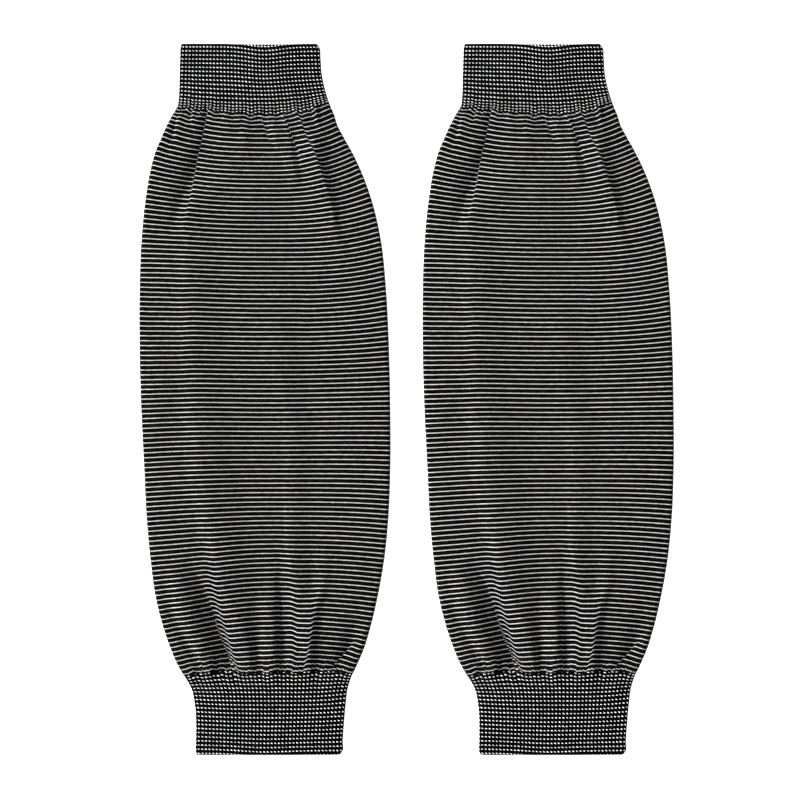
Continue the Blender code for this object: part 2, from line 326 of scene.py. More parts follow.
BOTTOM_FOLDS = table(
    FOLD,
    (-0.9, -0.87, -0.85, 9, 0.2, 0.5, (0.3, 3, -0.4, 3), (0.3, 2, -0.3, 2)),
    (-0.79, -0.75, -0.7, 18, 0.3, 0.4, (0.4, 4, -0.8, 4), (0.5, 3, -0.4, 3)),
    (-0.66, -0.62, -0.58, 18, 0.3, 0.4, (0.4, 4, -0.8, 4), (0.5, 3, -0.5, 3)),
    (-0.59, -0.56, -0.53, 14, 0.3, 0.5, (-0.8, 3, 0.3, 3), (-0.3, 3, 0.4, 3)),
    (-0.39, -0.53, -0.6, 80, 0.4, 0.45, (-0.8, 3, 0.6, 3), (0.2, 3, 0.9, 3), 0.9),
    (-0.36, -0.49, -0.56, 120, 0.2, 1.6, NO_RISE, (1.5, 18, -1.8, 12)),
    (-0.28, -0.28, -0.29, 9, 0.2, 0.5, (0.3, 3, -0.5, 2), (0.3, 2, -0.3, 2)),
    (-0.18, -0.16, -0.14, 34, 0.2, 0.8, (-0.3, 3, 0.3, 3), (-0.2, 3, -0.2, 3)),
    (-0.03, -0.03, -0.02, 8, 0.2, 0.5, (0.3, 3, -0.4, 3), (0.2, 2, -0.3, 2)),
    (0.13, 0.115, 0.12, 120, 0.2, 0.6, (-0.3, 3, 0.3, 3), (0.4, 6, -0.1, 4), 0.3),
    (0.2, 0.2, 0.2, 9, 0.2, 0.5, (0.3, 2, -0.4, 2), (0.2, 2, -0.2, 2)),
    (0.31, 0.25, 0.16, 98, 0.4, 1.8, NO_RISE, (0.4, 5, -1.5, 14)),
    (0.43, 0.45, 0.44, 68, 0.3, 0.8, NO_RISE, (-0.7, 5, 1.2, 8)),
    (0.55, 0.52, 0.49, 16, 0.3, 0.4, (0.2, 3, -0.8, 3), (0.3, 3, -0.3, 3)),
    (0.65, 0.66, 0.67, 10, 0.2, 0.5, (-0.4, 3, 0.3, 3), (-0.3, 2, 0.4, 2)),
    (0.73, 0.87, 0.93, 32, 0.4, 0.4, (-0.4, 3, 0.4, 3), (-0.4, 5, 1.1, 6), 0.4),
)

# Soft folds in the loose middle of the front, which start below the upper ones
MIDDLE_FOLDS = table(
    FOLD,
    (-0.6, -0.64, -0.55, 150, 0.3, 4, NO_RISE, (-0.5, 30, 0.1, 10)),
    (0.36, 0.3, 0.22, 90, 0.2, 5, NO_RISE, (0.1, 10, -0.3, 12)),
)
MIDDLE_START = 80.0

# The back panel's gathers, which rise from the floor: grooves where the panel is seen from below
BACK_TOP_FOLDS = table(
    FOLD,
    (-0.78, -0.72, -0.7, 30, 0.3, 0.8, (0, 3, 0.5, 4), (-0.3, 6, 0.4, 6)),
    (-0.44, -0.52, -0.6, 64, 0.3, 0.8, (0.8, 5, 0, 3), (0.6, 10, -0.7, 10)),
    (-0.1, -0.12, -0.1, 22, 0.3, 0.8, (0, 3, 0.6, 3), (-0.2, 5, 0.3, 5)),
    (0.24, 0.3, 0.32, 44, 0.3, 0.8, (0, 3, 0.7, 4), (-0.4, 8, 0.5, 8)),
    (0.58, 0.55, 0.62, 70, 0.3, 0.8, (0.8, 5, 0, 3), (0.7, 10, -0.6, 10)),
    (0.86, 0.84, 0.8, 18, 0.3, 0.8, (0, 3, 0.5, 3), (-0.2, 5, 0.3, 5)),
)
BACK_BOTTOM_FOLDS = table(
    FOLD,
    (-0.8, -0.74, -0.7, 20, 0.3, 0.8, (0, 3, 0.5, 3), (0.3, 5, -0.3, 5)),
    (-0.5, -0.46, -0.52, 72, 0.3, 0.8, (0.8, 5, 0, 3), (-0.8, 10, 0.7, 10)),
    (-0.22, -0.2, -0.16, 30, 0.3, 0.8, (0, 3, 0.6, 3), (0.3, 6, -0.3, 6)),
    (0.08, 0.14, 0.12, 50, 0.3, 0.8, (0.7, 4, 0, 3), (-0.4, 8, 0.4, 8)),
    (0.44, 0.5, 0.56, 80, 0.3, 0.8, (0, 3, 0.8, 5), (0.7, 10, -0.8, 10)),
    (0.76, 0.8, 0.84, 26, 0.3, 0.8, (0.6, 3, 0, 3), (-0.3, 5, 0.3, 5)),
)

# Broad relief of the front: ridges, and valleys with a negative height. Each is a line down the
# sleeve, with its height at each place and how far its left and right faces reach from the line.
# `sharp` is 0 for a round crest and 1 for one that falls away by the sharp power.
SHARP_POWER = 1.5


def ridge(sharp, *places):
    return sharp, table("y x height left right", *places)


LONG_LEFT_RIDGE = ridge(
    0.0,
    (132, -48, 0, 7, 8),
    (122, -50, 0.7, 8, 12),
    (100, -49, 0.7, 10, 20),
    (55, -47, 1.4, 12, 26),
    (20, -46, 1.1, 12, 26),
    (-20, -43, 1.9, 12, 28),
    (-60, -38, 2.1, 12, 28),
    (-93, -32, 2.7, 11, 28),
    (-115, -27, 2.4, 11, 24),
    (-135, -20, 1.5, 10, 14),
    (-155, -13, 1, 7, 5),
    (-176, -9, 0.6, 6, 3),
)
LOWER_LEFT_CREST = ridge(
    0.0,
    (-98, -59, 0, 8, 12),
    (-108, -58.5, 0.8, 8, 13),
    (-118, -57, 1.9, 9, 14),
    (-132, -53.5, 3, 11, 17),
    (-145, -49, 3.4, 11, 17),
    (-157, -43, 3.4, 9, 16),
    (-168, -39.5, 2.5, 6, 14),
    (-177, -37, 0.9, 4, 9),
)
LOWER_LEFT_VALLEY = ridge(
    1.0,
    (-97, -49, 0, 12, 6),
    (-108, -46, -1, 12, 8),
    (-118, -41.5, -2.2, 14, 10),
    (-132, -34.5, -3, 15, 11),
    (-145, -30, -3.3, 15, 11),
    (-156, -26.5, -3.3, 14, 10),
    (-165, -22.5, -2.8, 12, 9),
    (-177, -20, -0.8, 5, 6),
)
LEFT_EDGE_VALLEY = ridge(
    0.3,
    (-112, -64, 0, 5, 6),
    (-125, -62, -0.5, 5, 6),
    (-145, -56, -1.5, 6, 7),
    (-155, -51, -1.8, 6, 7),
    (-164, -46, -1.7, 5, 6),
    (-177, -39, -0.9, 4, 4),
)
MIDDLE_VALLEY = ridge(
    0.9,
    (-118, -6.5, 0, 5, 8),
    (-138, -6, -0.8, 6, 11),
    (-152, -5.5, -1.8, 6, 12),
    (-164, -5.5, -2, 5, 12),
    (-177, -5, -0.9, 4, 8),
)
DEEP_VALLEY = ridge(
    0.9,
    (-98, 9.5, 0, 5, 6),
    (-112, 10, -0.8, 5, 6),
    (-125, 10.2, -1.7, 5.5, 8),
    (-142, 10.8, -2.2, 6, 11),
    (-156, 11, -2.4, 6, 11),
    (-167, 11.4, -2.2, 5.5, 8),
    (-177, 11.5, -1, 4, 5),
)
LOWER_MIDDLE_CREST = ridge(
    0.3,
    (-108, 2, 0, 7, 7),
    (-125, 2.5, 0.5, 7, 7.5),
    (-142, 3.5, 1, 8, 7.5),
    (-160, 4, 1.2, 8, 7),
    (-177, 4, 0.5, 6, 6),
)
LONG_MIDDLE_RIDGE = ridge(
    0.0,
    (75, -2, 0, 9, 14),
    (50, 4, 0.5, 9, 16),
    (20, 9.5, 0.9, 10, 16),
    (-12, 16, 0.9, 12, 16),
    (-45, 17, 0.7, 7, 14),
    (-85, 16.5, 1.1, 6, 14),
    (-105, 17.5, 1.6, 6, 14),
    (-120, 20.5, 1.3, 7, 12),
    (-138, 25, 1, 8, 8),
    (-160, 26.5, 0.6, 7, 5),
    (-177, 25, 0, 5, 4),
)
LOWER_RIGHT_CREST = ridge(
    0.6,
    (-92, 39, 0, 6, 6),
    (-108, 38.3, 0.6, 7, 6),
    (-120, 37, 1, 8, 6),
    (-132, 33, 1.5, 9, 6),
    (-144, 30.5, 1.8, 8, 5.5),
    (-156, 29.2, 2, 8, 5),
    (-167, 28.6, 1.6, 6, 4.5),
    (-177, 28, 0.8, 4, 4),
)
RIGHT_EDGE_VALLEY = ridge(
    0.9,
    (-128, 61, 0, 10, 7),
    (-142, 58.5, -0.9, 10, 8),
    (-152, 56, -1.6, 10, 8),
    (-161, 52.5, -1.8, 9, 9),
    (-169, 47.5, -1.5, 7, 9),
    (-178, 43, -0.6, 5, 8),
)
UPPER_LEFT_VALLEY = ridge(
    1.0,
    (184, -37.5, -0.6, 3, 3),
    (175, -38.5, -1.3, 4, 10),
    (160, -41.5, -1.8, 6, 24),
    (150, -45.5, -1.9, 11, 26),
    (138, -50, -2.1, 12, 22),
    (126, -54.5, -1.7, 8, 13),
    (116, -58.5, -0.9, 6, 11),
    (104, -62, 0, 5, 8),
)
UPPER_RIGHT_CREST = ridge(
    0.6,
    (184, 21, 0.6, 5, 5),
    (175, 27, 1.3, 7, 5),
    (168, 31, 2.2, 9, 9),
    (160, 32, 2.9, 13, 10.5),
    (150, 33.5, 2.9, 15, 10.5),
    (140, 37, 2.6, 16, 9),
    (130, 41, 2.2, 16, 7),
    (120, 43.5, 1.6, 15, 5),
    (110, 45, 1.2, 14, 4),
    (100, 48, 0.6, 10, 4),
    (90, 51, 0.5, 8, 4),
    (78, 54, 0, 8, 4),
)
UPPER_RIGHT_FOOT = ridge(
    0.5,
    (185, 32, 0.6, 3, 3),
    (176, 34.5, 0.9, 3, 3.5),
    (168, 36, 0.6, 3, 3.5),
    (160, 37, 0, 3, 3),
)
UPPER_MIDDLE_CREST = ridge(
    0.6,
    (185, 11, 0.4, 3, 4),
    (175, 13.5, 1.1, 4, 4.5),
    (165, 15.5, 1.3, 5, 4.5),
    (155, 17.5, 1.2, 4, 4),
    (146, 20, 0.9, 4, 3.5),
    (138, 22, 0, 4, 3),
)
UPPER_MIDDLE_RIDGE = ridge(
    0.0,
    (185, 2, 0.2, 4, 4),
    (178, 4.5, 0.8, 5, 6),
    (165, 9, 1, 6, 7),
    (155, 14.5, 1, 7, 5),
    (145, 18.5, 0.9, 7, 4),
    (134, 22, 0, 7, 4),
)
UPPER_MIDDLE_GROOVE = ridge(
    0.8,
    (182, -0.5, -0.3, 3, 3),
    (172, 1.6, -0.7, 4, 4),
    (165, 3.5, -0.6, 4, 4),
    (156, 7, 0, 4, 4),
)
UPPER_SMALL_CREST = ridge(
    0.5,
    (185, -24, 0.4, 4, 3),
    (177, -24.2, 0.9, 4, 3.5),
    (167, -23.5, 0, 4, 3.5),
)
UPPER_SMALL_RIDGE = ridge(
    0.0,
    (185, -14, 0.5, 4, 6),
    (177, -13, 1.1, 4.5, 8),
    (165, -13.5, 0.8, 5, 8),
    (150, -15, 0, 5, 8),
)
RIDGES = [
    LONG_LEFT_RIDGE,
    LOWER_LEFT_CREST,
    LOWER_LEFT_VALLEY,
    LEFT_EDGE_VALLEY,
    MIDDLE_VALLEY,
    DEEP_VALLEY,
    LOWER_MIDDLE_CREST,
    LONG_MIDDLE_RIDGE,
    LOWER_RIGHT_CREST,
    RIGHT_EDGE_VALLEY,
    UPPER_LEFT_VALLEY,
    UPPER_RIGHT_CREST,
    UPPER_RIGHT_FOOT,
    UPPER_MIDDLE_CREST,
    UPPER_MIDDLE_RIDGE,
    UPPER_MIDDLE_GROOVE,
    UPPER_SMALL_CREST,
    UPPER_SMALL_RIDGE,
]

# Low round swells of the loose middle, with their sizes across and along the sleeve
SWELLS = table(
    "x y height x_size y_size",
    (-6, 131, 0.5, 9, 7),
    (-32, 138, 0.4, 8, 6),
    (-46, 88, 0.4, 10, 10),
    (18, 52, 0.4, 12, 14),
    (-69, -4, 0.9, 9, 17),
)

# How far the body's front lining is lowered, to leave room for the folds and valleys above it.
# In the deepest hollow it still comes through the front by up to 0.6 mm.
LINING_DROP = 4.0

# Folds that start at the same course and run the same way: up the sleeve is 1, down it is -1
FRONT_FOLDS = table(
    "start direction at_start folds",
    (TOP_SEAM, -1, FOLD_AT_SEAM, TOP_FOLDS),
    (BOTTOM_SEAM, 1, FOLD_AT_SEAM, BOTTOM_FOLDS),
    (MIDDLE_START, -1, 0, MIDDLE_FOLDS),
)
BACK_FOLDS = table(
    "start direction at_start folds",
    (TOP_SEAM, -1, FOLD_AT_SEAM, BACK_TOP_FOLDS),
    (BOTTOM_SEAM, 1, FOLD_AT_SEAM, BACK_BOTTOM_FOLDS),
)

# Colours of the yarns, of the brownish course halfway between the white ones, and of the floor
BLACK_YARN = (0.0008, 0.0008, 0.0010, 1.0)
BROWNISH_COURSE = (0.0080, 0.0066, 0.0056, 1.0)
WHITE_YARN = (0.89, 0.88, 0.86, 1.0)
FLOOR_COLOUR = (0.90, 0.90, 0.90, 1.0)

# All yarns: gloss, fuzz, and the painted shade in the gaps between the stitches of the body and the
# cuffs
YARN_SPECULAR = 0.012
YARN_SHEEN = 0.002
YARN_SHEEN_ROUGHNESS = 0.5
BODY_GAP_PAINTED_SHADE = 0.45
CUFF_GAP_PAINTED_SHADE = 0.5

# A stitch is a V of two legs: how many courses they rise to a wale, and where the yarn's round
# begins and ends across a leg and along it. The bump's depth is in metres.
LEG_RISE = 0.9
LEG_ROUND = (0.0, 0.38)
COURSE_ROUND = (-0.12, 0.5)
BUMP_STRENGTH = 0.5
BODY_BUMP = 0.00010
CUFF_BUMP = 0.00018

# Stripes: the white course's place and the soft edges of the white and the brown course, all in
# courses. The rows wander a little. Beside the seams the white ones break at the ribs' edges.
WHITE_PLACE = 0.22
WHITE_EDGE = (0.10, 0.32)
BROWN_EDGE = (1.45, 1.65)
WANDER = 0.45
WANDERS_PER_WALE = 0.45
RIB_BREAK = (0.30, 0.44)

# Patches along the yarn, for each wale and course, and what they change: where brown shows, and the
# slope and start of the lightness and the roughness
PATCHES_PER_WALE = 0.5
PATCHES_PER_COURSE = 0.25
BROWN_PATCHES = (0.35, 0.65)
PATCH_LIGHT = (1.2, 0.38)
PATCH_ROUGHNESS = (0.15, 0.75)

# White stitches of the cuffs: the range and least of their size and lightness, where their soft
# edge begins, and the strands in them, with painted shade between them and painted light on their tops
DOT_SIZE = (0.5, 0.95)
DOT_LIGHT = (0.3, 0.64)
DOT_CORE = 0.7
STRANDS = 7.0
STRAND_PAINTED_SHADE = 0.06
STRAND_HEIGHT = 0.15
CUFF_ROUGHNESS = 0.8

# Flat size of each sheet, all round and along, in metres
BODY_FLAT = (0.323, 0.362)
TOP_CUFF_FLAT = (0.194, 0.046)
BOTTOM_CUFF_FLAT = (0.202, 0.055)

# Camera: its lens and sensor in millimetres, and its place in metres
CAMERA_LENS = 100.0
CAMERA_SENSOR = 36.0
CAMERA_PLACE = (-0.00465, -0.00045, 1.431)

# Wide lights far away: the direction they come from, how wide they look, and their strength
KEY_FROM = (-0.87, 0.36, 0.33)
KEY_ANGLE = math.radians(18)
KEY_STRENGTH = 14.2
FILL_FROM = (0.75, 0.25, 0.60)
FILL_ANGLE = math.radians(40)
FILL_STRENGTH = 1.5
SKY_STRENGTH = 0.28

# Floor: half its size in metres, its glow, which makes it as white as a cut-out's ground, and its
# finish
FLOOR_HALF = 40.0
FLOOR_GLOW = 0.95
FLOOR_ROUGHNESS = 0.9
FLOOR_SPECULAR = 0.1


# Curves


def smooth(t):
    """0 below 0, 1 above 1, and an even S between."""
    t = np.clip(t, 0.0, 1.0)
    return t * t * (3 - 2 * t)


def along(rows, column, at):
    """The named column of a table at `at`, on a smooth curve through its rows."""
    rows = sorted(rows)
    keys = np.array([row[0] for row in rows], float)
    values = np.array([getattr(row, column) for row in rows], float)
    slopes = np.gradient(values, keys)
    i = np.clip(np.searchsorted(keys, at) - 1, 0, len(keys) - 2)
    step = keys[i + 1] - keys[i]
    t = (at - keys[i]) / step
    u = 1 - t
    start, end = values[i], values[i + 1]
    near_start = start + step * slopes[i] / 3
    near_end = end - step * slopes[i + 1] / 3
    return u**3 * start + 3 * u * u * t * near_start + 3 * u * t * t * near_end + t**3 * end


def bow(edge, half, away):
    """Rise of a course `away` from its middle, level there, `half` at 0.5 and `edge` at 1."""
    return away * away * (8 * half - edge + (2 * edge - 8 * half) * away)


def course_y(course, across):
    """y of a course at a place across the panel."""
    away = np.abs(across)
    left = bow(along(BOWS, "left", course), along(BOWS, "left_half", course), away)
    right = bow(along(BOWS, "right", course), along(BOWS, "right_half", course), away)
    return course + np.where(across < 0, left, right)


def side_edges(course):
    """x where the flat of the panel ends at the left and at the right."""
    left = along(OUTLINE, "left", course_y(course, -1.0)) + EDGE_RADIUS
    right = along(OUTLINE, "right", course_y(course, 1.0)) - EDGE_RADIUS
    return left, right


def mouth_share(course, x):
    """1 where the upper mouth sags most, and 0 at its ends and at the seam."""
    down_the_cuff = smooth((course - TOP_SEAM) / (TOP_EDGE - TOP_SEAM))
    return down_the_cuff * np.exp(-(((x - MOUTH_MIDDLE) / MOUTH_HALF_WIDTH) ** 2))


def side_lift(course):
    """How much higher the right side of the body stands than the left."""
    below_top = smooth((TOP_SEAM - course) / SIDE_LIFT_BELOW_TOP)
    over_bottom = smooth((course - BOTTOM_SEAM) / SIDE_LIFT_OVER_BOTTOM)
    return SIDE_LIFT * below_top * over_bottom


# Folds


def fold_place(fold, gone):
    """Where the fold lies across the panel, `gone` mm from its start, on a parabola."""
    t = np.clip(gone / fold.reach, 0.0, 1.0)
    from_first = (1 - t) * (1 - 2 * t) * fold.first
    from_half = 4 * t * (1 - t) * fold.half
    from_last = t * (2 * t - 1) * fold.last
    return from_first + from_half + from_last


def fold_strength(fold, gone, at_start):
    """Share of the fold's full size `gone` mm from its start. It fades before its start too."""
    grown = at_start + (1 - at_start) * smooth(gone / FOLD_RISE)
    faded = 1 - smooth((gone / fold.reach - fold.hold) / (1 - fold.hold))
    return grown * faded * np.exp(np.minimum(gone, 0.0) / FOLD_INTO_CUFF)


def beside_fold(values, right_share, distance):
    """A fold's height or slip at a distance from its line."""
    left, left_width, right, right_width = values
    at_left = left * np.exp(-distance / left_width)
    at_right = right * np.exp(-distance / right_width)
    return at_left + (at_right - at_left) * right_share


def fold_shape(fold_sets, course, across, half_width):
    """(height, slip, overlap) that the folds of a panel add to its points."""
    height = np.zeros(np.broadcast_shapes(course.shape, across.shape))
    slip = np.zeros_like(height)
    overlap = np.zeros_like(height)
    for fold_set in fold_sets:
        gone = fold_set.direction * (course - fold_set.start)
        for fold in fold_set.folds:
            edge = fold.edge * (1 + FOLD_SOFTENING * np.clip(gone / fold.reach, 0.0, 1.0) ** 4)
            offset = (across - fold_place(fold, gone)) * half_width
            right_share = (1 + np.tanh(offset / edge)) / 2
            distance = np.hypot(offset, edge) - edge
            strength = fold_strength(fold, gone, fold_set.at_start)
            height += strength * beside_fold(fold.height, right_share, distance)
            slip += strength * beside_fold(fold.slip, right_share, distance)
            together = (1 - 2 * right_share) * np.exp(-distance / OVERLAP_WIDTH)
            overlap += strength * fold.overlap * together
    edge_fade = side_fade(across, half_width)
    return height * edge_fade, slip * edge_fade, overlap * edge_fade


def side_fade(across, half_width):
    """0 at the side edges and 1 away from them."""
    return smooth((1 - np.abs(across)) * half_width / FOLD_EDGE_FADE)


def broad_relief(course, x, y):
    """Height that the ridges, valleys and swells add to the front."""
    height = np.zeros_like(x)
    for sharp, places in RIDGES:
        lengthwise = np.clip(y, places[-1].y, places[0].y)
        offset = x - along(places, "x", lengthwise)
        left = along(places, "left", lengthwise)
        right = along(places, "right", lengthwise)
        away = np.minimum(np.abs(offset) / np.where(offset < 0, left, right), 1.0)
        round_crest = (1 + np.cos(math.pi * away)) / 2
        sharp_crest = (1 - away) ** SHARP_POWER
        crest = along(places, "height", lengthwise)
        height += crest * (round_crest + sharp * (sharp_crest - round_crest))
    for swell in SWELLS:
        from_middle = ((x - swell.x) / swell.x_size) ** 2 + ((y - swell.y) / swell.y_size) ** 2
        height += swell.height * np.exp(-from_middle)
    into_cuff = np.maximum(course - TOP_SEAM, 0.0) + np.maximum(BOTTOM_SEAM - course, 0.0)
    return height * np.exp(-into_cuff / FOLD_INTO_CUFF)


def front_turns(course, count):
    """Turns of the front panel's columns on each course, closest together at the folds."""
    turns = np.linspace(0, 1, SEARCH_POINTS)
    left, right = side_edges(course)
    half_width = (right - left) / 2
    crowd = np.ones((len(course), SEARCH_POINTS))
    for fold_set in FRONT_FOLDS:
        gone = fold_set.direction * (course - fold_set.start)
        for fold in fold_set.folds:
            offset = (2 * turns - 1 - fold_place(fold, gone)) * half_width
            near = np.exp(-((offset / CROWD_WIDTH) ** 2))
            crowd += CROWDING / fold.edge**0.5 * near * fold_strength(fold, gone, fold_set.at_start)
    gone_by = np.cumsum(crowd, axis=1) - crowd[:, :1]
    shares = np.linspace(0, 1, count)
    return np.array([np.interp(shares, row / row[-1], turns) for row in gone_by])


# The tube


def tube_points(course, turn, depth, folded=True):
    """Points of the tube, `depth` mm inside its smooth surface.

    A turn runs from 0 to 1 over the front panel from left to right, to 2 down the right edge,
    to 3 back under the back panel and to 4 up the left edge. A wall that isn't folded is lowered
    under the folds of the front.
    """
    left, right = side_edges(course)
    half_width = (right - left) / 2
    on_front = turn <= 1
    on_back = (turn >= 2) & (turn <= 3)
    across = np.select([on_front, turn < 2, on_back], [2 * turn - 1, 1.0, 5 - 2 * turn], -1.0)
    x = left + (across + 1) * half_width
    y = course_y(course, across)

    # Front: crown, mouth, gathers, broad relief and the plumper right side
    in_body = smooth((TOP_SEAM - course) / FOLD_RISE) * smooth((course - BOTTOM_SEAM) / FOLD_RISE)
    open_share = mouth_share(course, x)
    crown = along(CROWNS, "height", course) * (1 - np.abs(across) ** CROWN_POWER)
    if folded:
        height, slip, overlap = fold_shape(FRONT_FOLDS, course, across, half_width)
        height = height + broad_relief(course, x, y + slip) * side_fade(across, half_width)
        x = x + np.where(on_front, overlap, 0.0)
    else:
        height, slip = -LINING_DROP * in_body, 0.0
    lift = side_lift(course)
    rising = np.clip((across - SIDE_LIFT_FROM) / (1 - SIDE_LIFT_FROM), 0.0, 1.0) ** SIDE_LIFT_POWER
    front_z = 2 * EDGE_RADIUS + crown + MOUTH_LIFT * open_share + height + lift * rising
    front_y = y - MOUTH_DIP * open_share + slip

    # Back: flat on the floor apart from its gathers
    rise, back_slip, _ = fold_shape(BACK_FOLDS, course, across, half_width)
    back_z = np.maximum(rise, 0.0) * in_body + depth

    # Side folds, of which the right one rises with the front beside it
    downwards = turn < 2
    angle = math.pi / 2 - math.pi * np.where(downwards, turn - 1, 4 - turn)
    radius = EDGE_RADIUS - depth
    side = np.where(downwards, 1, -1)
    bulge = np.where(on_front | on_back, 0.0, radius * np.abs(np.cos(angle)))
    side_z = EDGE_RADIUS + radius * np.sin(angle)
    side_z = side_z + np.where(downwards, lift * (1 + np.sin(angle)) / 2, 0.0)

    # The front stays above the flat of the back, whatever its valleys and folds add up to
    front_z = np.maximum(front_z - depth, depth + LEAST_HOLLOW)
    z = np.select([on_front, on_back], [front_z, back_z], side_z)
    y = np.select([on_front, on_back], [front_y, y + back_slip * in_body], y)
    return np.stack(np.broadcast_arrays(x + side * bulge, y, z), axis=-1)


def dots_at(course, turn):
    """How many dots lie between the middle of the left edge and each turn."""
    left, right = side_edges(course)
    width = right - left
    arc_length = math.pi * EDGE_RADIUS
    arc = DOTS_ROUND * arc_length / (2 * (width + arc_length))
    front = DOTS_ROUND / 2 - arc
    quarter = np.minimum(np.floor(turn), 3)
    fronts_passed = np.ceil(quarter / 2)
    arcs_passed = 0.5 + np.floor(quarter / 2)
    length = np.where(quarter % 2 == 0, front, arc)
    return fronts_passed * front + arcs_passed * arc + length * (turn - quarter)


def seam_wave(dots, course):
    """How far the stitches beside the seams are moved along the sleeve."""
    turn = 2 * math.pi * dots / DOTS_ROUND
    waves = sum(
        wave.height * np.sin(wave.count * turn + 2 * math.pi * wave.start) for wave in SEAM_WAVES
    )
    away = np.minimum(np.abs(course - TOP_SEAM), np.abs(course - BOTTOM_SEAM))
    return waves * np.exp(-away / SEAM_WAVE_FADE)


def sag_at(y, x):
    """How far a dot row near a hem stands above its own middle."""
    width = along(SAGS, "width", y)
    side = np.where(x < SAG_MIDDLE, along(SAGS, "left", y), along(SAGS, "right", y))
    near_hem = (y > TOP_SAG_END) | (y < BOTTOM_SAG_END)
    return np.where(near_hem, side * (1 - np.exp(-(((x - SAG_MIDDLE) / width) ** 2))), 0.0)


# Meshes


def grid_faces(rings, columns, start, outward):
    """(faces, corners) of a closed grid. Corners index a grid with one more column."""
    i, j = np.meshgrid(np.arange(rings - 1), np.arange(columns), indexing="ij")
    k = (j + 1) % columns
    near, far = start + i * columns, start + (i + 1) * columns
    faces = np.stack([near + j, far + j, far + k, near + k], axis=-1).reshape(-1, 4)
    near, far = i * (columns + 1), (i + 1) * (columns + 1)
    corners = np.stack([near + j, far + j, far + j + 1, near + j + 1], axis=-1).reshape(-1, 4)
    if not outward:
        faces, corners = faces[:, ::-1], corners[:, ::-1]
    return faces, corners


def rim_corners(outer_turns, inner_turns, at_top):
    """Corners of the triangles between two closed rings, counted through the outer and then on."""
    outer_last, inner_last = len(outer_turns) - 1, len(inner_turns) - 1
    corners = []
    i = j = 0
    while i < outer_last or j < inner_last:
        outer_left = i < outer_last
        if j == inner_last or (outer_left and outer_turns[i + 1] <= inner_turns[j + 1]):
            corners.append((i, outer_last + 1 + j, i + 1))
            i += 1
        else:
            corners.append((i, outer_last + 1 + j, outer_last + 2 + j))
            j += 1
    return np.array(corners)[:, ::-1] if at_top else np.array(corners)


def bake_layout(dots, height, strips, band):
    """Flat layout for baking: the way round in `strips` strips, one above the other in the band."""
    round_share = dots / DOTS_ROUND
    middle = round_share.mean(axis=-1, keepdims=True)
    round_share = round_share - np.floor(middle)
    strip = np.floor((middle - np.floor(middle)) * strips)
    in_strip = STRIP_MARGIN + (1 - 2 * STRIP_MARGIN) * height
    low, high = band
    return round_share * strips - strip, low + (high - low) / strips * (strip + in_strip)


def pairs(first, second):
    """Two arrays as one list of pairs."""
    return np.stack([first, second], axis=-1).reshape(-1, 2)


# One side of a wall: the course and turn of its points, the number of the first of them, whether it
# faces outwards, and its band in the layout for baking
Side = namedtuple("Side", "course turn start outward band")


def closed(side):
    """(course, turn) of a side with its first column repeated at the end of the way round."""
    course = np.concatenate([side.course, side.course[:, :1]], axis=1)
    turn = np.concatenate([side.turn, np.full((len(side.turn), 1), 4.0)], axis=1)
    return course, turn


def side_part(side, stitches_of, strips):
    """(faces, stitch places, bake places) of one side of a wall, with a place for each corner."""
    course, turn = closed(side)
    dots, rows = stitches_of(course, turn)
    share = (course - course[-1, 0]) / (course[0, 0] - course[-1, 0])
    faces, corners = grid_faces(*side.course.shape, side.start, side.outward)
    dots, rows, share = (values.ravel()[corners] for values in (dots, rows, share))
    return faces.tolist(), pairs(dots, rows), pairs(*bake_layout(dots, share, strips, side.band))


def rim_part(outside, inside, at_top, stitches_of, band):
    """The same for the rim at one end of a wall, where the stitches go on by one row."""
    rings = []
    for layer, side in enumerate((outside, inside)):
        course, turn = closed(side)
        end = 0 if at_top else -1
        numbers = side.start + np.arange(side.turn.size).reshape(side.turn.shape)[end]
        dots, rows = stitches_of(course[end, :1], turn[end])
        rows = rows + (layer if at_top else -layer)
        rings.append((np.append(numbers, numbers[0]), turn[end], dots, rows, np.full(len(dots), layer)))
    corners = rim_corners(rings[0][1], rings[1][1], at_top)
    numbers, _, dots, rows, layers = (np.concatenate(parts)[corners] for parts in zip(*rings))
    return numbers.tolist(), pairs(dots, rows), pairs(*bake_layout(dots, layers, 1, band))


def tube_mesh(name, rings, turns, lining_rings, wall, depth_of, stitches_of, strips):
    """A closed wall: outer surface with relief, lining, and the rims at both ends."""
    course, turn = np.broadcast_arrays(rings[:, None], turns)
    lining_course, lining_turn = np.broadcast_arrays(lining_rings[:, None], lining_turns())
    outer = tube_points(course, turn, depth_of(course, turn))
    inner = tube_points(lining_course, lining_turn, wall, folded=False)
    points = np.concatenate([outer.reshape(-1, 3), inner.reshape(-1, 3)])
    outside = Side(course, turn, 0, True, OUTER_BAND)
    inside = Side(lining_course, lining_turn, course.size, False, LINING_BAND)
    faces, stitches, bake = zip(
        side_part(outside, stitches_of, strips),
        side_part(inside, stitches_of, strips),
        rim_part(outside, inside, True, stitches_of, UPPER_RIM_BAND),
        rim_part(outside, inside, False, stitches_of, LOWER_RIM_BAND),
    )

    mesh = bpy.data.meshes.new(name)
    mesh.from_pydata((points * MM).tolist(), [], sum(faces, []))
    for layer_name, places in (("OFBake", bake), ("stitches", stitches)):
        layer = mesh.uv_layers.new(name=layer_name)
        layer.uv.foreach_set("vector", np.concatenate(places).astype(np.float32).ravel())
    mesh.uv_layers["OFBake"].active_render = True
    mesh.shade_smooth()
    mesh.validate()
    return mesh


def arc_turns(first, count):
    return first + np.arange(1, count + 1) / (count + 1)


def ring_turns(front, back_count, arc_count):
    """Turns of whole rings, from the turns of their front columns."""
    rest = np.concatenate(
        [arc_turns(1, arc_count), np.linspace(2, 3, back_count), arc_turns(3, arc_count)]
    )
    return np.concatenate([front, np.tile(rest, (len(front), 1))], axis=1)


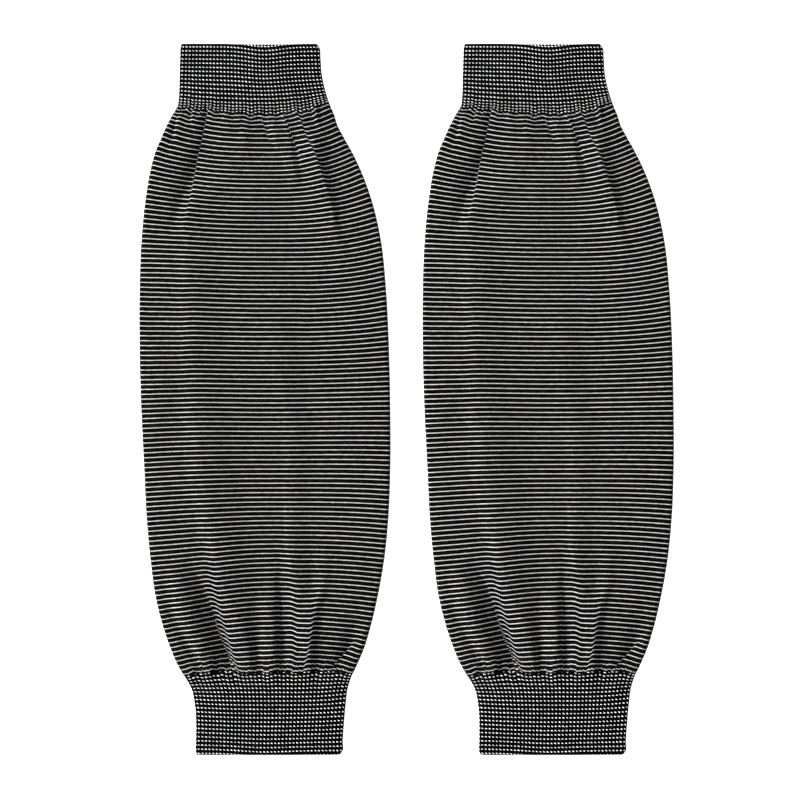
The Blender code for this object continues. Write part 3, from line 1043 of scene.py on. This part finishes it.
def lining_turns():
    front = np.linspace(0, 1, LINING_FRONT_POINTS)[None, :]
    return ring_turns(front, LINING_BACK_POINTS, LINING_ARC_POINTS)[0]


def body_mesh():
    def stripe_course(number):
        return along(STRIPE_ROWS, "y", number)

    courses = stripe_course(np.arange(COURSES_PER_STRIPE * STRIPES) / COURSES_PER_STRIPE)
    below_top = courses < TOP_SEAM - LEAST_FROM_SEAM
    above_bottom = courses > BOTTOM_SEAM + LEAST_FROM_SEAM
    rings = np.concatenate([[TOP_SEAM], courses[below_top & above_bottom], [BOTTOM_SEAM]])
    numbers = np.linspace(0, STRIPES, LOOKUPS_PER_STRIPE * STRIPES)
    numbers_y = stripe_course(numbers)

    def stripe_number(course):
        return np.interp(-course, -numbers_y, numbers)

    def depth_of(course, turn):
        return COURSE_RELIEF * (1 - np.cos(2 * math.pi * stripe_number(course))) / 2

    def stitches_of(course, turn):
        dots = dots_at(course, turn)
        number = stripe_number(course - seam_wave(dots, course))
        return dots, COURSES_PER_STRIPE * (STRIPES - number)

    turns = ring_turns(front_turns(rings[:, None], FRONT_POINTS), BACK_POINTS, ARC_POINTS)
    lining_rings = np.linspace(TOP_SEAM, BOTTOM_SEAM, BODY_LINING_RINGS)
    return tube_mesh(
        "body", rings, turns, lining_rings, BODY_WALL, depth_of, stitches_of, BODY_STRIPS
    )


def dot_shape(dots, rows):
    """1 on top of a white stitch of the cuffs, and 0 outside it."""
    x = (dots - np.floor(dots) - 0.5) * CELL_WIDTH
    y = rows - np.round(rows)
    length = (x * math.cos(DOT_TILT) + y * math.sin(DOT_TILT)) / DOT_LENGTH
    width = (y * math.cos(DOT_TILT) - x * math.sin(DOT_TILT)) / DOT_WIDTH
    return np.clip(DOME_HEIGHT - DOME_FALL * (length**2 + width**2), 0.0, 1.0)


def row_number(y, dot_rows):
    """Number of the dot row at y. The rows go on evenly beyond the first and the last in the table."""

    def pitch(lower, upper):
        return (upper.y - lower.y) / (upper.number - lower.number)

    inside = np.interp(y, [row.y for row in dot_rows], [row.number for row in dot_rows])
    below = np.minimum(y - dot_rows[0].y, 0.0) / pitch(*dot_rows[:2])
    above = np.maximum(y - dot_rows[-1].y, 0.0) / pitch(*dot_rows[-2:])
    return inside + below + above


def cuff_mesh(name, seam, edge, dot_rows):
    ring_count = int(abs(seam - edge) / DOT_ROW_PITCH * RINGS_PER_DOT_ROW)
    hem_rings = edge + math.copysign(HEM_ROUND, seam - edge) * np.array(HEM_RINGS)
    rings = np.concatenate([np.linspace(seam, edge, ring_count), hem_rings])
    rings = np.unique(rings)[::-1]

    def stitches_of(course, turn):
        x = tube_points(course, turn, 0.0)[..., 0]
        dots = dots_at(course, turn)
        middle_y = course - sag_at(course, x) - seam_wave(dots, course)
        return dots, row_number(middle_y, dot_rows)

    def depth_of(course, turn):
        dots, rows = stitches_of(course, turn)
        groove = (1 + np.cos(2 * math.pi * dots)) / 2
        relief = RIB_HEIGHT * groove + DOT_RELIEF * (1 - dot_shape(dots, rows))
        near_hem = np.clip(1 - np.abs(course - edge) / HEM_ROUND, 0.0, 1.0)
        return relief + HEM_ROUND * (1 - np.sqrt(1 - near_hem * near_hem))

    dots_on_front = DOTS_ROUND // 2 - DOTS_AT_SIDES
    front = np.linspace(0, 1, dots_on_front * POINTS_PER_DOT)[None, :]
    turns = ring_turns(front, dots_on_front * BACK_POINTS_PER_DOT, CUFF_ARC_POINTS)
    lining_rings = np.linspace(rings[0], rings[-1], CUFF_LINING_RINGS)
    return tube_mesh(
        name, rings, turns, lining_rings, CUFF_WALL, depth_of, stitches_of, CUFF_STRIPS
    )


# Materials


class Nodes:
    """Adds and links the nodes of one material."""

    def __init__(self, name):
        self.material = bpy.data.materials.new(name)
        self.material.use_nodes = True
        self.tree = self.material.node_tree
        self.shader = self.tree.nodes["Principled BSDF"]

    def put(self, node, inputs):
        """Links outputs to inputs of a node, or sets them, by name or number."""
        for place, value in inputs.items():
            if isinstance(value, bpy.types.NodeSocket):
                self.tree.links.new(value, node.inputs[place])
            else:
                node.inputs[place].default_value = value

    def add(self, kind, inputs, **settings):
        node = self.tree.nodes.new(kind)
        for setting, value in settings.items():
            setattr(node, setting, value)
        self.put(node, inputs)
        return node

    def math(self, operation, *values):
        inputs = dict(enumerate(values))
        return self.add("ShaderNodeMath", inputs, operation=operation).outputs[0]

    def ramp(self, value, low, high):
        """0 at `low`, 1 at `high`, and smooth between."""
        inputs = {"Value": value, "From Min": low, "From Max": high}
        node = self.add("ShaderNodeMapRange", inputs, interpolation_type="SMOOTHSTEP")
        return node.outputs["Result"]

    def mix(self, share, first, second):
        inputs = {0: share, 6: first, 7: second}
        return self.add("ShaderNodeMix", inputs, data_type="RGBA").outputs[2]

    def scale(self, colour, share):
        """The colour, an output or three numbers, times a number."""
        inputs = {0: colour, "Scale": share}
        return self.add("ShaderNodeVectorMath", inputs, operation="SCALE").outputs[0]

    def times(self, first, second):
        return self.math("MULTIPLY", first, second)

    def line(self, value, slope, start):
        """The start plus the slope times the value."""
        return self.math("MULTIPLY_ADD", value, slope, start)

    def one_minus(self, value):
        return self.math("SUBTRACT", 1.0, value)

    def place(self, x, y):
        return self.add("ShaderNodeCombineXYZ", {0: x, 1: y}).outputs[0]

    def noise(self, x, y):
        """Noise from 0 to 1 over two coordinates, with about one lump to a unit."""
        inputs = {"Vector": self.place(x, y), "Scale": 1.0}
        return self.add("ShaderNodeTexNoise", inputs).outputs["Fac"]

    def random(self, x, y):
        """One random number for each whole pair of coordinates."""
        inputs = {"Vector": self.place(x, y)}
        node = self.add("ShaderNodeTexWhiteNoise", inputs, noise_dimensions="2D")
        return node.outputs["Value"]

    def stitches(self):
        """(dots round the tube, rows along it) from the mesh."""
        place = self.add("ShaderNodeUVMap", {}, uv_map="stitches")
        split = self.add("ShaderNodeSeparateXYZ", {0: place.outputs[0]})
        return split.outputs[0], split.outputs[1]

    def stitch_height(self, wale, course):
        """(height of the yarn, course that it belongs to) where each stitch is a V of two legs."""
        beside = self.math("ABSOLUTE", self.math("SUBTRACT", self.math("FRACT", wale), 0.5))
        row = self.math("SUBTRACT", course, self.times(beside, LEG_RISE))
        leg = self.math("PINGPONG", self.times(wale, 2.0), 0.5)
        within = self.math("PINGPONG", self.math("ADD", row, 0.5), 0.5)
        height = self.times(self.ramp(leg, *LEG_ROUND), self.ramp(within, *COURSE_ROUND))
        return height, row

    def finish(self, colour, height, depth, roughness):
        """The material, with its colour, roughness and bump put in, and the gloss of the yarns."""
        bump = {"Height": height, "Distance": depth, "Strength": BUMP_STRENGTH}
        yarn = {
            "Normal": self.add("ShaderNodeBump", bump).outputs[0],
            "Base Color": colour,
            "Roughness": roughness,
            "Specular IOR Level": YARN_SPECULAR,
            "Sheen Weight": YARN_SHEEN,
            "Sheen Roughness": YARN_SHEEN_ROUGHNESS,
        }
        self.put(self.shader, yarn)
        return self.material


def body_knit():
    """Plain knitting: one white course in four, and a brownish one halfway between."""
    nodes = Nodes("body_knit_yarn")
    dots, course = nodes.stitches()
    wale = nodes.times(dots, WALES_PER_DOT)
    height, row = nodes.stitch_height(wale, course)

    # The rows wander, and beside the seams they slant within each rib
    wander = nodes.noise(nodes.times(wale, WANDERS_PER_WALE), course)
    row = nodes.line(nodes.math("SUBTRACT", wander, 0.5), WANDER, row)
    from_end = nodes.math("SUBTRACT", COURSES_PER_STRIPE * STRIPES, course)
    to_seam = nodes.math("MINIMUM", course, from_end)
    beside_seam = nodes.math("EXPONENT", nodes.math("DIVIDE", to_seam, -SLANT_FADE))
    in_rib = nodes.math("SUBTRACT", nodes.math("FRACT", dots), 0.5)
    slant = nodes.times(in_rib, RIB_SLANT)
    row = nodes.line(beside_seam, slant, row)

    # White and brownish courses on black
    from_white = nodes.math("PINGPONG", nodes.math("ADD", row, WHITE_PLACE), COURSES_PER_STRIPE / 2)
    white = nodes.one_minus(nodes.ramp(from_white, *WHITE_EDGE))
    rib_edge = nodes.ramp(nodes.math("ABSOLUTE", in_rib), *RIB_BREAK)
    whole = nodes.one_minus(nodes.times(rib_edge, beside_seam))
    patchy = nodes.noise(nodes.times(wale, PATCHES_PER_WALE), nodes.times(course, PATCHES_PER_COURSE))
    brown = nodes.times(nodes.ramp(from_white, *BROWN_EDGE), nodes.ramp(patchy, *BROWN_PATCHES))
    dark = nodes.mix(brown, BLACK_YARN, BROWNISH_COURSE)
    colour = nodes.mix(nodes.times(white, whole), dark, WHITE_YARN)

    # Painted shade in the gaps, and lighter and darker patches
    painted_gap_shade = nodes.line(height, BODY_GAP_PAINTED_SHADE, 1 - BODY_GAP_PAINTED_SHADE)
    light = nodes.line(patchy, *PATCH_LIGHT)
    colour = nodes.scale(colour, nodes.times(painted_gap_shade, light))
    return nodes.finish(colour, height, BODY_BUMP, nodes.line(patchy, *PATCH_ROUGHNESS))


def cuff_knit():
    """Mock rib: rows of white slanted stitches on black knitting."""
    nodes = Nodes("cuff_knit_yarn")
    dots, row = nodes.stitches()
    wale = nodes.times(dots, WALES_PER_DOT)
    height, _ = nodes.stitch_height(wale, nodes.times(row, COURSES_PER_STRIPE))

    # Place within the slanted oval of the nearest white stitch
    column = nodes.math("FLOOR", dots)
    nearest = nodes.math("ROUND", row)
    x = nodes.times(nodes.math("SUBTRACT", nodes.math("FRACT", dots), 0.5), CELL_WIDTH)
    y = nodes.math("SUBTRACT", row, nearest)
    cos, sin = math.cos(DOT_TILT), math.sin(DOT_TILT)
    length = nodes.line(x, cos / DOT_LENGTH, nodes.times(y, sin / DOT_LENGTH))
    width = nodes.line(y, cos / DOT_WIDTH, nodes.times(x, -sin / DOT_WIDTH))
    out = nodes.line(length, length, nodes.times(width, width))
    edge = nodes.line(nodes.random(column, nearest), *DOT_SIZE)
    white = nodes.one_minus(nodes.ramp(out, nodes.times(edge, DOT_CORE), edge))

    # Painted light and shade on the strands of the white stitches, their random lightness, and painted
    # shade in the gaps of the black ones
    strands = nodes.math("SINE", nodes.times(width, STRANDS))
    light = nodes.line(nodes.random(nearest, column), *DOT_LIGHT)
    light = nodes.line(strands, STRAND_PAINTED_SHADE, light)
    painted_gap_shade = nodes.line(height, CUFF_GAP_PAINTED_SHADE, 1 - CUFF_GAP_PAINTED_SHADE)
    dark = nodes.scale(BLACK_YARN[:3], painted_gap_shade)
    colour = nodes.mix(white, dark, nodes.scale(WHITE_YARN[:3], light))
    ground = nodes.times(height, nodes.one_minus(white))
    lumps = nodes.line(nodes.times(strands, STRAND_HEIGHT), white, ground)
    return nodes.finish(colour, lumps, CUFF_BUMP, CUFF_ROUGHNESS)


def floor_material():
    nodes = Nodes("pale_floor")
    paint = {
        "Base Color": FLOOR_COLOUR,
        "Roughness": FLOOR_ROUGHNESS,
        "Specular IOR Level": FLOOR_SPECULAR,
        "Emission Color": FLOOR_COLOUR,
        "Emission Strength": FLOOR_GLOW,
    }
    nodes.put(nodes.shader, paint)
    return nodes.material


# Pieces


def add_object(name, data):
    added = bpy.data.objects.new(name, data)
    bpy.context.scene.collection.objects.link(added)
    return added


def add_piece(name, node, mesh, x):
    """A piece in the place of its CAD node, riding on the one body."""
    piece = add_object(name, mesh)
    piece.location = (x, 0.0, 0.0)
    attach(piece, "root")
    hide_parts(node)
    return piece


def sleeve_middle(side):
    low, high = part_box(side + "_body")
    return (low.x + high.x) / 2


body = body_mesh()
body.materials.append(body_knit())
cuff_material = cuff_knit()
top_cuff = cuff_mesh("top_cuff", TOP_SEAM, TOP_EDGE, TOP_DOT_ROWS)
top_cuff.materials.append(cuff_material)
bottom_cuff = cuff_mesh("bottom_cuff", BOTTOM_SEAM, BOTTOM_EDGE, BOTTOM_DOT_ROWS)
bottom_cuff.materials.append(cuff_material)

for side in ("left", "right"):
    x = sleeve_middle(side)
    for kind, mesh, flat, slot in (
        ("top_cuff", top_cuff, TOP_CUFF_FLAT, "cuff_knit"),
        ("body", body, BODY_FLAT, "body_knit"),
        ("bottom_cuff", bottom_cuff, BOTTOM_CUFF_FLAT, "cuff_knit"),
    ):
        piece = add_piece(f"{side}_{kind}_knit", f"{side}_{kind}", mesh, x)


# Floor, lights and camera


def add_floor():
    mesh = bpy.data.meshes.new("floor")
    corners = [(-1, -1), (1, -1), (1, 1), (-1, 1)]
    points = [(FLOOR_HALF * x, FLOOR_HALF * y, 0) for x, y in corners]
    mesh.from_pydata(points, [], [(0, 1, 2, 3)])
    mesh.materials.append(floor_material())
    floor = add_object("floor", mesh)


def add_light(name, comes_from, angle, strength):
    lamp = bpy.data.lights.new(name, "SUN")
    lamp.angle = angle
    lamp.energy = strength
    light = add_object(name, lamp)
    light.location = comes_from
    light.rotation_euler = (-light.location).to_track_quat("-Z", "Y").to_euler()


def add_sky():
    world = bpy.data.worlds.new("studio")
    world.use_nodes = True
    background = world.node_tree.nodes["Background"]
    background.inputs["Color"].default_value = (1.0, 1.0, 1.0, 1.0)
    background.inputs["Strength"].default_value = SKY_STRENGTH
    bpy.context.scene.world = world


def add_camera():
    data = bpy.data.cameras.new("camera")
    data.lens = CAMERA_LENS
    data.sensor_width = CAMERA_SENSOR
    camera = add_object("camera", data)
    camera.location = CAMERA_PLACE
    bpy.context.scene.camera = camera


add_floor()
add_light("key", KEY_FROM, KEY_ANGLE, KEY_STRENGTH)
add_light("fill", FILL_FROM, FILL_ANGLE, FILL_STRENGTH)
add_sky()
add_camera()
bpy.context.scene.view_settings.view_transform = "Standard"
